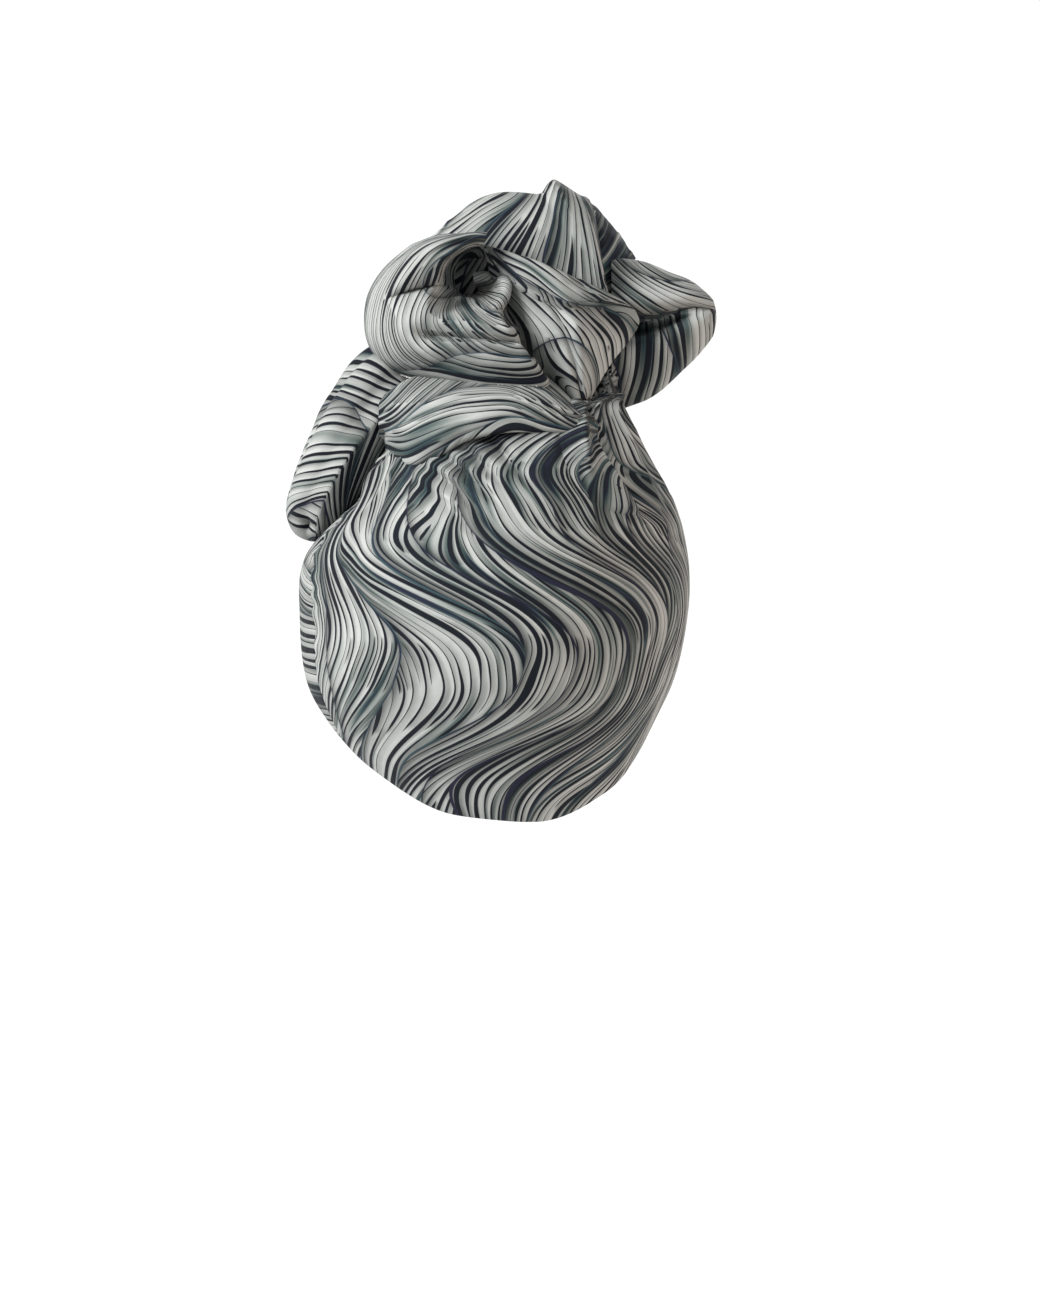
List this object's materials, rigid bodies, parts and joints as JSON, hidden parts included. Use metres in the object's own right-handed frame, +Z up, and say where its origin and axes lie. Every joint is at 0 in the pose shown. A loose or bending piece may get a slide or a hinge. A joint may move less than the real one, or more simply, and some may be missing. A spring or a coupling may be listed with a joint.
{
  "type": "turban headwrap",
  "caption": "Soft fabric turban: a cap of sewn panels with a lapped pleat, a folded crown flap, a side roll and a knot of looped cloth leaves on top",
  "frame": {"origin": "centre of the wearer's head at its girth, level with the brow edge of the wrap", "axes": "+Z up along the standing height, the wearer faces -Y, the wearer's left is +X"},
  "size_m": [0.2185, 0.2225, 0.3159],
  "materials": {
    "cloth": "soft matte printed cloth with flowing pale strands between thin dark lines",
    "stitching": "pale overlocking thread along the raw hem"
  },
  "bodies": {
    "root": {"back_panel": "cloth", "front_panel": "cloth", "crown_fold": "cloth", "side_roll": "cloth", "rosette_leaf": "cloth", "centre_leaf": "cloth", "back_leaf": "cloth", "wing_leaf": "cloth", "knot_neck": "cloth"}
  },
  "joints": []
}
